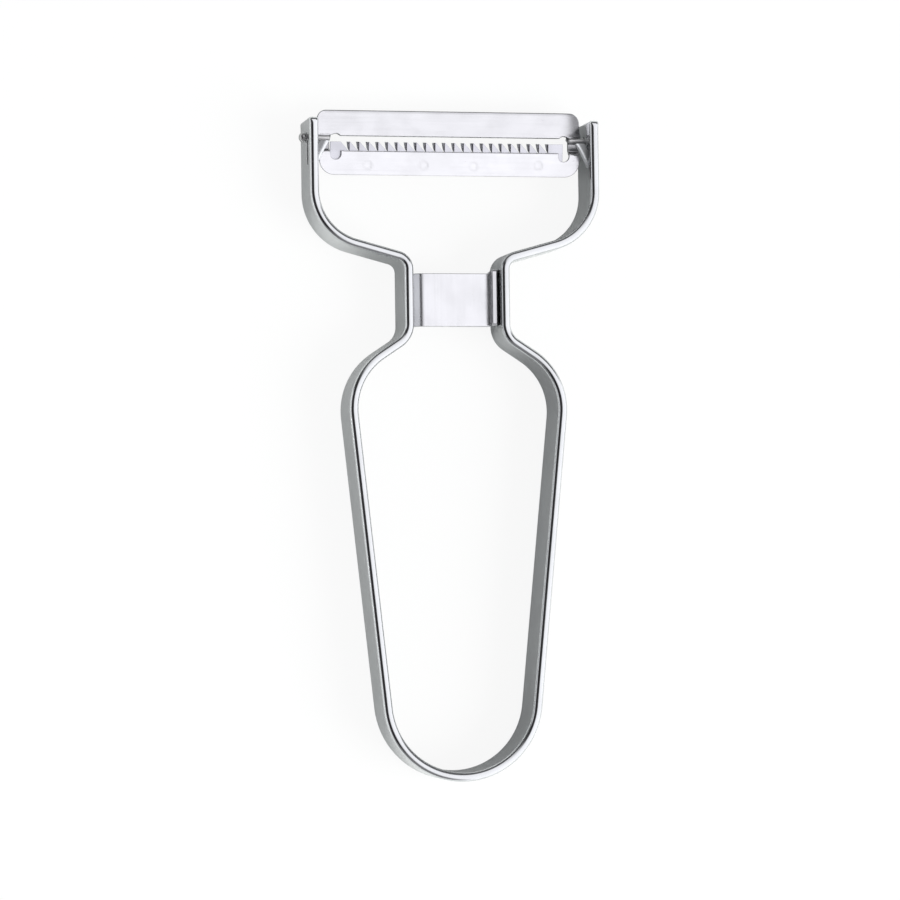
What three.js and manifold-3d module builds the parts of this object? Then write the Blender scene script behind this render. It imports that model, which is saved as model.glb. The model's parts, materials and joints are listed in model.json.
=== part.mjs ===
// Julienne peeler: one metal strip bent into a handle, neck and yoke, with a swivelling toothed blade.
// Millimetres. X runs across the peeler and Y along it, from the end of the handle to the blade.
// Z runs across the strip's width: the peeler lies on the strip's edge, on the plane Z = 0.
// The origin is on that edge, on the strip's centre line at the end of the handle.

import * as THREE from "three";
import { mergeVertices } from "three/addons/utils/BufferGeometryUtils.js";
import Module from "manifold-3d";

// Strip: section, and the bends of its centre line from the end of the handle to the top of an arm
const STRIP_WIDTH = 12;
const STRIP_THICKNESS = 2;
const STRIP_EDGE_ROUND = 0.7;
const HANDLE_END_RADIUS = 16.5;
const HANDLE_TAPER_DEGREES = 5.9;
const HANDLE_LENGTH = 85.8;
const SHOULDER_RISE = 8.7;
const SHOULDER_BEND_RADIUS = 14;
const NECK_GAP = 19.2;
const NECK_LENGTH = 16.7;
const NECK_FOOT_BEND_RADIUS = 5;
const NECK_HEAD_BEND_RADIUS = 3;
const YOKE_GAP = 59.8;
const YOKE_RISE = 5.6;
const YOKE_BEND_RADIUS = 12;
const ARM_LENGTH = 24.6;

// Bridge: a sheet bent square forward at its right end and rolled back at its left end, seam welded inside
// the neck. The bend radii are those of the hollow side.
const BRIDGE_SHEET = 0.9;
const BRIDGE_FRONT_FLANGE = 2.7;
const BRIDGE_FRONT_BEND_RADIUS = 0.4;
const BRIDGE_BACK_FLANGE = 3.6;
const BRIDGE_BACK_BEND_RADIUS = 2.5;
const BRIDGE_END_MARGIN = 0.1;
const BRIDGE_FACE_AHEAD_OF_MIDDLE = 0.4;
const BRIDGE_SEAM = 0.1;

// Pivot pins: one through the top of each arm, fixed to the blade
const PIVOT_BELOW_ARM_TOP = 3.8;
const PIN_RADIUS = 0.6;
const PIN_RUNNING_GAP = 0.25;
const PIN_HEAD_RADIUS = 1.15;
const PIN_HEAD_HEIGHT = 1.05;
const PIN_HEAD_GAP = 0.25;

// Stops: a tongue lanced from each arm and bent inwards above its root, measured from the pivot axis
const STOP_BELOW_PIVOT = 0.95;
const STOP_LENGTH = 5.25;
const STOP_REACH = 2.7;
const STOP_WIDTH = 1;
const STOP_AHEAD_OF_PIVOT = 2.4;
const STOP_SHEAR_GAP = 0.1;

// Blade plate, measured from the pivot axis: its edges, the leans of its two flanges and its slot
const BLADE_SHEET = 0.6;
const BLADE_END_GAP = 0.65;
const BLADE_ABOVE_PIVOT = 6.2;
const BLADE_BELOW_PIVOT = 7.95;
const BLADE_RIDGE = 0.9;
const UPPER_LEAN_DEGREES = 12;
const LOWER_LEAN_DEGREES = 8;
const TOP_CORNER_RADIUS = 2.1;
const BOTTOM_CORNER_RADIUS = 3.3;
const SLOT_ABOVE_PIVOT = 0.5;
const SLOT_BELOW_PIVOT = 2.8;
const RELIEF_WIDTH = 2.4;
const RELIEF_ABOVE_SLOT = 0.45;
const RELIEF_BELOW_SLOT = 1.85;
const END_WEB = 2.75;
const END_LEAN_DEGREES = 10;
const LOWER_END_SET_IN = 0.4;
const WEB_BEHIND_PIN = 0.15;
const WEB_FLAT_HEIGHT = 1.8;
const WEB_SLOPE_HEIGHT = 1.3;

// Toothed strip behind the lower flange, with teeth lanced from its upper edge and folded back
const TOOTH_SHEET = 0.45;
const TOOTH_SEAM = 0.1;
const TOOTH_PITCH = 2.1;
const TOOTH_ROOM_AT_RELIEF = 1.7;
const TOOTH_TIP_BELOW_PIVOT = 0.8;
const TOOTH_DEPTH = 2.1;
const TOOTH_FOLD = 1.8;
const TOOTH_STRIP_END_MARGIN = 0.7;
const TOOTH_STRIP_HEIGHT = 5.6;

// Fineness of round forms
const BEND_STEP_DEGREES = 7.5;
const EDGE_SEGMENTS = 3;
const PIN_SIDES = 24;
const HEAD_STEPS = 5;
const TOLERANCE = 1e-6;

// Sizes that follow from the ones above
const neckHalf = NECK_GAP / 2 + STRIP_THICKNESS / 2;
const yokeHalf = YOKE_GAP / 2 + STRIP_THICKNESS / 2;
const handleTaper = THREE.MathUtils.degToRad(HANDLE_TAPER_DEGREES);
const neckFootY = HANDLE_LENGTH + SHOULDER_RISE;
const neckHeadY = neckFootY + NECK_LENGTH;
const yokeCornerY = neckHeadY + YOKE_RISE;
const armTopY = yokeCornerY + ARM_LENGTH;
const pivotY = armTopY - PIVOT_BELOW_ARM_TOP;
const middleZ = STRIP_WIDTH / 2;
const bladeHalf = YOKE_GAP / 2 - BLADE_END_GAP;
const slotHalf = bladeHalf - END_WEB;
const reliefInside = slotHalf - RELIEF_WIDTH;
const upperSlope = Math.tan(THREE.MathUtils.degToRad(UPPER_LEAN_DEGREES));
const lowerLean = THREE.MathUtils.degToRad(LOWER_LEAN_DEGREES);
const lowerSlope = Math.tan(lowerLean);
const endSlope = Math.tan(THREE.MathUtils.degToRad(END_LEAN_DEGREES));

const wasm = await Module();
wasm.setup();

// A closed geometry becomes a solid that can be joined and cut
function solid(geometry) {
  const bare = geometry.clone();
  bare.deleteAttribute("normal");
  bare.deleteAttribute("uv");
  const merged = mergeVertices(bare, 1e-5);
  return new wasm.Manifold(new wasm.Mesh({
    numProp: 3,
    vertProperties: new Float32Array(merged.attributes.position.array),
    triVerts: new Uint32Array(merged.index.array),
  }));
}

function geometryOf(manifold) {
  const mesh = manifold.getMesh();
  const geometry = new THREE.BufferGeometry();
  geometry.setAttribute("position", new THREE.BufferAttribute(new Float32Array(mesh.vertProperties), 3));
  geometry.setIndex(new THREE.BufferAttribute(new Uint32Array(mesh.triVerts), 1));
  geometry.computeVertexNormals();
  return geometry;
}

// A path round corners: points with the unit normal to their right, straight between tangent arcs.
// An arc shrinks where its neighbours leave it too little of a straight.
function roundedPath(corners, radii) {
  const turns = radii.map((radius, i) => {
    const before = corners[i + 1].clone().sub(corners[i]);
    const after = corners[i + 2].clone().sub(corners[i + 1]);
    const turn = Math.atan2(before.cross(after), before.dot(after));
    const reach = radius * Math.tan(Math.abs(turn) / 2);
    return { before: before.normalize(), after: after.normalize(), turn, reach };
  });
  for (let i = 0; i < corners.length - 1; i += 1) {
    const length = corners[i].distanceTo(corners[i + 1]);
    const sharing = turns.slice(Math.max(0, i - 1), i + 1);
    const wanted = sharing.reduce((sum, bend) => sum + bend.reach, 0);
    if (wanted > length) {
      sharing.forEach((bend) => { bend.reach *= length / wanted; });
    }
  }
  const path = [];
  const put = (point, direction) => {
    path.push({ point, normal: new THREE.Vector2(direction.y, -direction.x) });
  };
  put(corners[0].clone(), turns[0].before);
  turns.forEach(({ before, turn, reach }, i) => {
    const radius = reach / Math.tan(Math.abs(turn) / 2);
    const start = corners[i + 1].clone().addScaledVector(before, -reach);
    const toCentre = new THREE.Vector2(-before.y, before.x).multiplyScalar(radius * Math.sign(turn));
    const centre = start.clone().add(toCentre);
    const arcSteps = Math.ceil(Math.abs(THREE.MathUtils.radToDeg(turn)) / BEND_STEP_DEGREES);
    const steps = radius > 0 ? arcSteps : 0;
    for (let k = 0; k <= steps; k += 1) {
      const angle = turn * k / arcSteps;
      put(start.clone().rotateAround(centre, angle), before.clone().rotateAround(new THREE.Vector2(), angle));
    }
  });
  put(corners.at(-1).clone(), turns.at(-1).after);
  return path;
}

// Outline of a sheet of one thickness whose right-hand face follows a path
function sheetShape(path, thickness) {
  const face = path.map(({ point }) => point);
  const back = path.map(({ point, normal }) => point.clone().addScaledVector(normal, -thickness));
  return new THREE.Shape([...face, ...back.reverse()]);
}

// Outline of a sheet whose right-hand face runs straight between points, with mitred corners
function foldedShape(points, thickness) {
  const normals = points.slice(1).map((point, i) => {
    const direction = point.clone().sub(points[i]).normalize();
    return new THREE.Vector2(direction.y, -direction.x);
  });
  const back = points.map((point, i) => {
    const first = normals[Math.max(0, i - 1)];
    const second = normals[Math.min(normals.length - 1, i)];
    const mitre = first.clone().add(second);
    return point.clone().addScaledVector(mitre, -2 * thickness / mitre.lengthSq());
  });
  return new THREE.Shape([...points, ...back.reverse()]);
}

function extrude(shape, depth) {
  return new THREE.ExtrudeGeometry(shape, { depth, bevelEnabled: false, curveSegments: 8 });
}

// A section drawn in Y and Z, run along X from one place to another
function runAlongX(shape, fromX, toX) {
  const axes = new THREE.Matrix4().makeBasis(
    new THREE.Vector3(0, 1, 0), new THREE.Vector3(0, 0, 1), new THREE.Vector3(1, 0, 0));
  return extrude(shape, toX - fromX).applyMatrix4(axes).translate(fromX, 0, 0);
}

// An outline drawn in X and Y, run along Z far enough to pass through the blade
function throughBlade(shape) {
  const reach = BLADE_ABOVE_PIVOT + BLADE_BELOW_PIVOT;
  return extrude(shape, 2 * reach).translate(0, 0, -reach);
}

function mirroredX(points) {
  return points.map((point) => new THREE.Vector2(-point.x, point.y));
}

function cylinderAlongX(radius, fromX, toX) {
  return new THREE.CylinderGeometry(radius, radius, toX - fromX, PIN_SIDES)
    .rotateZ(Math.PI / 2)
    .translate((fromX + toX) / 2, 0, 0);
}

// Centre line of the strip's right half, from the end of the handle to the top of the arm
function stripHalfPath() {
  const start = new THREE.Vector2(0, 0);
  const endCorner = new THREE.Vector2(HANDLE_END_RADIUS * Math.tan(Math.PI / 4 - handleTaper / 2), 0);
  const shoulder = new THREE.Vector2(endCorner.x + HANDLE_LENGTH * Math.tan(handleTaper), HANDLE_LENGTH);
  const corners = [
    start,
    endCorner,
    shoulder,
    new THREE.Vector2(neckHalf, neckFootY),
    new THREE.Vector2(neckHalf, neckHeadY),
    new THREE.Vector2(yokeHalf, yokeCornerY),
    new THREE.Vector2(yokeHalf, armTopY),
  ];
  return roundedPath(corners, [HANDLE_END_RADIUS, SHOULDER_BEND_RADIUS, NECK_FOOT_BEND_RADIUS,
    NECK_HEAD_BEND_RADIUS, YOKE_BEND_RADIUS]);
}

// Straight length of the neck between its two bends
function neckStraight(path) {
  const upright = path.filter(({ normal }) => normal.x > 1 - TOLERANCE);
  const along = upright.filter(({ point }) => Math.abs(point.x - neckHalf) < TOLERANCE);
  const heights = along.map(({ point }) => point.y).filter((y) => y < yokeCornerY);
  return { low: Math.min(...heights), high: Math.max(...heights) };
}

// Tongue of the right arm, drawn in X and Y, and the slot that it is lanced from
function armStop() {
  const inner = YOKE_GAP / 2;
  const outer = inner + STRIP_THICKNESS;
  const top = pivotY - STOP_BELOW_PIVOT;
  const root = top - STOP_LENGTH;
  const buried = root - STRIP_THICKNESS / 2;
  const backZ = middleZ + STOP_AHEAD_OF_PIVOT;
  const point = (x, y) => new THREE.Vector2(x, y);
  const tongue = new THREE.Shape([point(inner, buried), point(outer, buried), point(outer, root),
    point(outer - STOP_REACH, top), point(inner - STOP_REACH, top), point(inner, root)]);
  const [nearX, farX] = [inner - STRIP_THICKNESS, outer + STRIP_THICKNESS];
  const slotTop = top + STOP_SHEAR_GAP;
  const slot = new THREE.Shape([point(nearX, root), point(farX, root), point(farX, slotTop),
    point(nearX, slotTop)]);
  return {
    tongue: solid(extrude(tongue, STOP_WIDTH).translate(0, 0, backZ)),
    slot: solid(extrude(slot, STOP_WIDTH + 2 * STOP_SHEAR_GAP).translate(0, 0, backZ - STOP_SHEAR_GAP)),
  };
}

function handleStrip(path) {
  const side = (offset) => path.map(({ point, normal }) => point.clone().addScaledVector(normal, offset));
  const outer = side(STRIP_THICKNESS / 2);
  const inner = side(-STRIP_THICKNESS / 2);
  const across = (half) => [...mirroredX(half.slice(1)).reverse(), ...half];
  const outline = new THREE.Shape([...across(outer), ...across(inner).reverse()]);
  const strip = new THREE.ExtrudeGeometry(outline, {
    depth: STRIP_WIDTH - 2 * STRIP_EDGE_ROUND,
    bevelThickness: STRIP_EDGE_ROUND,
    bevelSize: STRIP_EDGE_ROUND,
    bevelOffset: -STRIP_EDGE_ROUND,
    bevelSegments: EDGE_SEGMENTS,
  }).translate(0, 0, STRIP_EDGE_ROUND);
  const reach = yokeHalf + STRIP_THICKNESS;
  const drill = cylinderAlongX(PIN_RADIUS + PIN_RUNNING_GAP, -reach, reach).translate(0, pivotY, middleZ);
  const { tongue, slot } = armStop();
  const mirror = new THREE.Matrix4().makeScale(-1, 1, 1);
  return geometryOf(solid(strip)
    .subtract(solid(drill))
    .subtract(slot)
    .subtract(slot.transform(mirror.elements))
    .add(tongue)
    .add(tongue.transform(mirror.elements)));
}

// Sheet across the neck, drawn in X and Z: its web faces the front and its flanges run along the neck
function neckBridge(straight) {
  const side = NECK_GAP / 2 - BRIDGE_SEAM;
  const webZ = middleZ + BRIDGE_FACE_AHEAD_OF_MIDDLE;
  const corners = [
    new THREE.Vector2(side - BRIDGE_SHEET, webZ + BRIDGE_FRONT_FLANGE),
    new THREE.Vector2(side - BRIDGE_SHEET, webZ),
    new THREE.Vector2(-side, webZ),
    new THREE.Vector2(-side, webZ - BRIDGE_BACK_FLANGE),
  ];
  const radii = [BRIDGE_FRONT_BEND_RADIUS, BRIDGE_BACK_BEND_RADIUS + BRIDGE_SHEET];
  const shape = sheetShape(roundedPath(corners, radii), BRIDGE_SHEET);
  const height = straight.high - straight.low - 2 * BRIDGE_END_MARGIN;
  return extrude(shape, height).rotateX(Math.PI / 2).translate(0, straight.high - BRIDGE_END_MARGIN, 0);
}

// Faces of the plate's two flanges, measured from the pivot axis
const upperFaceZ = (y) => BLADE_RIDGE - y * upperSlope;
const lowerFaceZ = (y) => BLADE_RIDGE + y * lowerSlope;

function bladeOutline() {
  const right = [
    new THREE.Vector2(0, -BLADE_BELOW_PIVOT),
    new THREE.Vector2(bladeHalf - LOWER_END_SET_IN, -BLADE_BELOW_PIVOT),
    new THREE.Vector2(bladeHalf - LOWER_END_SET_IN, -SLOT_BELOW_PIVOT),
    new THREE.Vector2(bladeHalf, SLOT_ABOVE_PIVOT),
    new THREE.Vector2(bladeHalf, BLADE_ABOVE_PIVOT),
    new THREE.Vector2(0, BLADE_ABOVE_PIVOT),
  ];
  const half = roundedPath(right, [BOTTOM_CORNER_RADIUS, 0, 0, TOP_CORNER_RADIUS]).map(({ point }) => point);
  return new THREE.Shape([...half, ...mirroredX(half.slice(1, -1)).reverse()]);
}

// End of the plate run along X, with its upper flange leaning back from the slot's end outwards
function bladeEnd(shape, fromX, toX) {
  const geometry = runAlongX(shape, fromX, toX);
  const { position } = geometry.attributes;
  for (let i = 0; i < position.count; i += 1) {
    const beyondSlot = Math.abs(position.getX(i)) - slotHalf;
    const setBack = position.getY(i) > 0 ? beyondSlot * endSlope : 0;
    position.setZ(i, position.getZ(i) - setBack);
  }
  return geometry;
}

// Plate made along X: flat flanges between the reliefs, and a web set back behind the pin at each end
function bladePlate() {
  const point = (y, z) => new THREE.Vector2(y, z);
  const top = point(BLADE_ABOVE_PIVOT, upperFaceZ(BLADE_ABOVE_PIVOT));
  const bottom = point(-BLADE_BELOW_PIVOT, lowerFaceZ(-BLADE_BELOW_PIVOT));
  const middle = foldedShape([top, point(0, BLADE_RIDGE), bottom], BLADE_SHEET);
  const webZ = -PIN_RADIUS - WEB_BEHIND_PIN;
  const webY = WEB_FLAT_HEIGHT / 2;
  const slopeY = webY + WEB_SLOPE_HEIGHT;
  const end = foldedShape([top, point(slopeY, upperFaceZ(slopeY)), point(webY, webZ), point(-webY, webZ),
    point(-slopeY, lowerFaceZ(-slopeY)), bottom], BLADE_SHEET);
  const plate = solid(runAlongX(middle, -slotHalf, slotHalf))
    .add(solid(bladeEnd(end, slotHalf, bladeHalf)))
    .add(solid(bladeEnd(end, -bladeHalf, -slotHalf)));
  const reliefRadius = RELIEF_WIDTH / 2;
  const reliefLow = -SLOT_BELOW_PIVOT - RELIEF_BELOW_SLOT + reliefRadius;
  const reliefHigh = SLOT_ABOVE_PIVOT + RELIEF_ABOVE_SLOT - reliefRadius;
  const relief = (x) => {
    const shape = new THREE.Shape();
    shape.absarc(x, reliefLow, reliefRadius, Math.PI, 2 * Math.PI);
    shape.absarc(x, reliefHigh, reliefRadius, 0, Math.PI);
    return solid(throughBlade(shape));
  };
  const slot = new THREE.Shape([
    point(-slotHalf + reliefRadius, -SLOT_BELOW_PIVOT),
    point(slotHalf - reliefRadius, -SLOT_BELOW_PIVOT),
    point(slotHalf - reliefRadius, SLOT_ABOVE_PIVOT),
    point(-slotHalf + reliefRadius, SLOT_ABOVE_PIVOT),
  ]);
  return geometryOf(plate
    .intersect(solid(throughBlade(bladeOutline())))
    .subtract(solid(throughBlade(slot)))
    .subtract(relief(reliefInside + reliefRadius))
    .subtract(relief(-reliefInside - reliefRadius)));
}

// Strip with a sawtooth upper edge, drawn flat with its face on Z = 0, then leaned as the lower flange is
function toothStrip() {
  const half = slotHalf - TOOTH_STRIP_END_MARGIN;
  const zone = 2 * (reliefInside - TOOTH_ROOM_AT_RELIEF);
  const count = Math.floor(zone / TOOTH_PITCH) + 1;
  const firstX = -(count - 1) * TOOTH_PITCH / 2;
  const topY = -TOOTH_TIP_BELOW_PIVOT;
  const rootY = topY - TOOTH_DEPTH;
  const outline = [
    new THREE.Vector2(-half, topY - TOOTH_STRIP_HEIGHT),
    new THREE.Vector2(half, topY - TOOTH_STRIP_HEIGHT),
    new THREE.Vector2(half, topY),
  ];
  for (let k = count - 1; k >= 0; k -= 1) {
    const x = firstX + k * TOOTH_PITCH;
    outline.push(new THREE.Vector2(x, topY), new THREE.Vector2(x, rootY));
  }
  outline.push(new THREE.Vector2(firstX - TOOTH_PITCH + TOOTH_SHEET, topY), new THREE.Vector2(-half, topY));
  let strip = solid(extrude(new THREE.Shape(outline), TOOTH_SHEET).translate(0, 0, -TOOTH_SHEET));
  const foldFace = -TOOTH_SHEET / 2;
  const fin = new THREE.Shape([
    new THREE.Vector2(rootY, foldFace),
    new THREE.Vector2(topY, foldFace - TOOTH_FOLD),
    new THREE.Vector2(topY, foldFace),
  ]);
  for (let k = 0; k < count; k += 1) {
    const x = firstX + k * TOOTH_PITCH;
    strip = strip.add(solid(runAlongX(fin, x, x + TOOTH_SHEET)));
  }
  const backOfFlange = BLADE_RIDGE - (BLADE_SHEET + TOOTH_SEAM) / Math.cos(lowerLean);
  return geometryOf(strip).rotateX(lowerLean).translate(0, 0, backOfFlange);
}

// Pin with a domed head, turned about its axis: the head outside the arm, the tail beside the relief
function pivotPin() {
  const tail = slotHalf;
  const seat = yokeHalf + STRIP_THICKNESS / 2 + PIN_HEAD_GAP;
  const profile = [
    new THREE.Vector2(0, tail),
    new THREE.Vector2(PIN_RADIUS, tail),
    new THREE.Vector2(PIN_RADIUS, seat),
    new THREE.Vector2(PIN_HEAD_RADIUS, seat),
  ];
  for (let k = 1; k <= HEAD_STEPS; k += 1) {
    const angle = (Math.PI / 2) * k / HEAD_STEPS;
    const radius = k === HEAD_STEPS ? 0 : PIN_HEAD_RADIUS * Math.cos(angle);
    profile.push(new THREE.Vector2(radius, seat + PIN_HEAD_HEIGHT * Math.sin(angle)));
  }
  return geometryOf(solid(new THREE.LatheGeometry(profile, PIN_SIDES).rotateZ(-Math.PI / 2)));
}

function part(name, geometry, material) {
  const mesh = new THREE.Mesh(geometry, material);
  mesh.name = name;
  return mesh;
}

function metal(color, roughness) {
  return new THREE.MeshStandardMaterial({ color, roughness, metalness: 1 });
}

const path = stripHalfPath();

const peeler = new THREE.Group();
const frame = new THREE.Group();
frame.add(part("handle_strip", handleStrip(path), metal(0xc9cbcd, 0.16)));
frame.add(part("neck_bridge", neckBridge(neckStraight(path)), metal(0xd2d3d6, 0.22)));
peeler.add(frame);

const blade = new THREE.Group();
blade.position.set(0, pivotY, middleZ);
blade.add(part("blade_plate", bladePlate(), metal(0xd6d7da, 0.24)));
blade.add(part("tooth_strip", toothStrip(), metal(0xb9bac2, 0.28)));
const rightPin = part("right_pivot_pin", pivotPin(), metal(0xbfc0c2, 0.3));
const leftPin = part("left_pivot_pin", pivotPin(), metal(0xbfc0c2, 0.3));
leftPin.rotation.y = Math.PI;
blade.add(rightPin, leftPin);
peeler.add(blade);

export default peeler;
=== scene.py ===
"""Looks of a julienne peeler, made round its packed solids.

Each piece is made again as a fine mesh in the place of its solid. Lengths are metres in the frame of the
solids: X across the peeler, Y from the end of the handle to the blade, Z up across the strip's width.
The blade's own sizes are measured from its pivot axis.
"""

import json
import math
from bisect import bisect_left, bisect_right

import bmesh
import bpy
import numpy as np
from mathutils import Matrix, Vector
from mathutils.geometry import delaunay_2d_cdt


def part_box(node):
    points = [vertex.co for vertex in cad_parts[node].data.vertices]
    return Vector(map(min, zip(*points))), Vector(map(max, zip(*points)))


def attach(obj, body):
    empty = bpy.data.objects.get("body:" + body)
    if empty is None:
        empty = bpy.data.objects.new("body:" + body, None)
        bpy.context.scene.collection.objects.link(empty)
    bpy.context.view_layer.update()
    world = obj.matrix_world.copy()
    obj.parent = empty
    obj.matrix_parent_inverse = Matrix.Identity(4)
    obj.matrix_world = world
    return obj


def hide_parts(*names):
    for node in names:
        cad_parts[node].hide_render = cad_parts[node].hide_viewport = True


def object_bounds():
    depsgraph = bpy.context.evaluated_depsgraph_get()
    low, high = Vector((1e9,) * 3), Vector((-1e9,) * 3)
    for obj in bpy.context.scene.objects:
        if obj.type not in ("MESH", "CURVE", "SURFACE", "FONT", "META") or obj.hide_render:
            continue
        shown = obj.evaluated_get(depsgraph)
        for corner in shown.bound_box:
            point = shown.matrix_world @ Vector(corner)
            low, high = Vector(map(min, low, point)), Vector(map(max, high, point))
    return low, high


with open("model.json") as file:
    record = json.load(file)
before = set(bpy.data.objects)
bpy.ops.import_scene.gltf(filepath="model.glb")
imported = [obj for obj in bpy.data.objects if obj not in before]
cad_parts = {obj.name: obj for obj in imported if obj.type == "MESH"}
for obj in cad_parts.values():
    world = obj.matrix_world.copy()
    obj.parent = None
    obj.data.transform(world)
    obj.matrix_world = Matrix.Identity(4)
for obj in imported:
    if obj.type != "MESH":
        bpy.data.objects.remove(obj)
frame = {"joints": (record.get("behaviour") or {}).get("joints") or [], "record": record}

bl_info = {
    "name": "Julienne Peeler",
    "version": (1, 0, 0),
    "blender": (4, 5, 0),
    "location": "3D View > Sidebar > Peeler",
    "description": "Makes the bent strip, bridge, swivelling blade, teeth and pins of a julienne peeler",
    "category": "Object",
}

MM = 0.001
CAD_LOW, CAD_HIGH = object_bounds()
STRIP_LOW, STRIP_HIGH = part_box("handle_strip")
BRIDGE_LOW, BRIDGE_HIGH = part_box("neck_bridge")
BLADE_LOW, BLADE_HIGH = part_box("blade_plate")
TEETH_LOW, TEETH_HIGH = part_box("tooth_strip")
PIN_LOW, PIN_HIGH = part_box("right_pivot_pin")
PIVOT = Vector(frame["joints"][0]["pos_m"])
SLOT_COLOURS = {row["slot"]: row["base_color"] for row in frame["record"]["materials"]}
PHOTO_PIXELS = 900


# Properties

def length(name, description, default):
    return bpy.props.FloatProperty(
        name=name, description=description, default=default, unit="LENGTH", precision=5)


def angle(name, description, degrees):
    return bpy.props.FloatProperty(
        name=name, description=description, default=math.radians(degrees), subtype="ANGLE")


def number(name, description, default):
    return bpy.props.FloatProperty(name=name, description=description, default=default, precision=3)


def colour(name, description, default):
    return bpy.props.FloatVectorProperty(
        name=name, description=description, default=default, size=3, subtype="COLOR", min=0, max=1)


class StripSizes(bpy.types.PropertyGroup):
    """Sizes of the bent strip that forms the handle, the neck and the yoke"""

    thickness: length("Thickness", "Thickness of the strip", 2 * MM)
    edge_round: length("Edge round", "Radius along the strip's two long edges", 0.96 * MM)
    end_round: length("End round", "Radius along the cut tops of the arms", 0.45 * MM)
    end_corner: length("End corner", "Corner radius of the cut tops, seen from the side", 0.9 * MM)
    handle_end_radius: length("Handle end", "Bend radius at the end of the handle", 16.5 * MM)
    handle_taper: angle("Handle taper", "Lean of each side of the handle", 5.9)
    handle_length: length("Handle length", "From the handle's end to its shoulders", 85.8 * MM)
    shoulder_rise: length("Shoulder rise", "From the shoulders to the foot of the neck", 8.7 * MM)
    shoulder_radius: length("Shoulder radius", "Bend radius of the shoulders", 14 * MM)
    neck_gap: length("Neck gap", "Clear width of the neck", 19.2 * MM)
    neck_length: length("Neck length", "From the foot to the head of the neck", 16.7 * MM)
    neck_foot_radius: length("Neck foot radius", "Bend radius at the foot of the neck", 5 * MM)
    neck_head_radius: length("Neck head radius", "Bend radius at the head of the neck", 3 * MM)
    yoke_rise: length("Yoke rise", "From the head of the neck to the yoke's corners", 5.6 * MM)
    yoke_radius: length("Yoke radius", "Bend radius of the yoke's corners", 12 * MM)
    hole_radius: length("Hole radius", "Radius of the pivot holes", 0.85 * MM)


class StopSizes(bpy.types.PropertyGroup):
    """Sizes of the tongue lanced from each arm, from the pivot axis"""

    below: length("Below", "From the pivot axis down to the tongue's free end", 0.95 * MM)
    span: length("Span", "Length of the tongue along the arm", 5.25 * MM)
    reach: length("Reach", "How far its free end stands inside the arm", 2.7 * MM)
    width: length("Width", "Width of the tongue", 1 * MM)
    ahead: length("Ahead", "From the pivot axis forward to the tongue's back", 2.4 * MM)
    gap: length("Gap", "Shear gap between the tongue and its slot", 0.1 * MM)
    rolled: length("Rolled edge", "Largest radius of the edge that is rolled inwards", 0.48 * MM)
    edge_round: length("Edge round", "Radius along the other edges", 0.08 * MM)
    # Painted shade: these two darken the sheared face of each tongue, by a different amount on each side.
    left_shade: number("Left shade", "How dark the sheared face of the left tongue is", 0.75)
    right_shade: number("Right shade", "How dark the sheared face of the right tongue is", 0.75)


class BridgeSizes(bpy.types.PropertyGroup):
    """Sizes of the bent sheet that closes the neck"""

    sheet: length("Sheet", "Thickness of the sheet", 1.1 * MM)
    front: length("Front", "Height of the web's front face above the floor", 6.4 * MM)
    left_radius: length("Left radius", "Outside radius of the left end, which is rolled back", 3.4 * MM)
    right_radius: length("Right radius", "Inside radius of the right bend, which comes forward", 0.2 * MM)
    right_turn: angle("Right turn", "Turn of the right bend", 95)
    drop: length("Drop", "How far the bridge lies below its solid along the neck", 0.36 * MM)
    flange_rise: length("Flange rise", "Height of the right flange above the web's top edge", 0.8 * MM)
    flange_round: length("Flange round", "Corner radius of the flanges", 0.9 * MM)
    edge_round: length("Edge round", "Radius along the cut edges", 0.18 * MM)


class BladeSizes(bpy.types.PropertyGroup):
    """Sizes of the blade plate, from the pivot axis"""

    sheet: length("Sheet", "Thickness of the sheet", 0.6 * MM)
    edge_round: length("Edge round", "Radius along the cut edges", 0.12 * MM)
    ground_round: length("Ground round", "Radius along the ground edge of the upper flange", 0.28 * MM)
    ridge: length("Ridge", "Height of the ridge between the flanges", 0.9 * MM)
    upper_lean: angle("Upper lean", "Lean of the upper flange", 12)
    lower_lean: angle("Lower lean", "Lean of the lower flange", 8)
    top_corner: length("Top corner", "Radius of the top corners", 2.1 * MM)
    bottom_corner: length("Bottom corner", "Radius of the bottom corners", 3.3 * MM)
    set_in: length("Set in", "How far the lower flange's ends lie inside the upper flange's", 0.4 * MM)
    slot_top: length("Slot top", "Upper edge of the slot", 0.5 * MM)
    slot_bottom: length("Slot bottom", "Lower edge of the slot", -2.8 * MM)
    slot_edge: length("Slot edge", "Edge radius along the lower edge of the slot", 0.28 * MM)
    slot_lip: length("Slot lip", "Edge radius along the upper edge of the slot", 0.03 * MM)
    end_web: length("End web", "Length of the web outside the slot", 2.75 * MM)
    relief_width: length("Relief width", "Width of the round relief at each end of the slot", 2.4 * MM)
    relief_top: length("Relief top", "Upper end of the reliefs", 0.95 * MM)
    relief_bottom: length("Relief bottom", "Lower end of the reliefs", -4.65 * MM)
    web_depth: length("Web depth", "Distance of the end webs behind the pivot axis", 0.75 * MM)
    web_top: length("Web top", "Upper end of the flat part of the end webs", 0.3 * MM)
    web_step: length("Web step", "Height of the step from the web to the upper flange", 0.4 * MM)
    web_bottom: length("Web bottom", "Lower end of the flat part of the end webs", -2.2 * MM)
    web_slope: length("Web slope", "Height of the curve from the web to the lower flange", 0.8 * MM)
    # Painted shade: darkens the colour of the end webs.
    web_shade: number("Web shade", "How dark the end webs are", 0.5)
    end_curl: length("End curl", "How far the upper flange's right end curls back", 0.8 * MM)
    curl_length: length("Curl length", "Length of the curled end", 4.8 * MM)
    # Painted shade: a dark line painted along the ground edge at the top of the upper flange.
    edge_shade: number("Edge shade", "How dark the ground edge is", 0.65)
    weld_radius: length("Weld radius", "Radius of the spot weld marks", 1.0 * MM)
    weld_depth: length("Weld depth", "Depth of the spot weld marks", 0.035 * MM)


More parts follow.
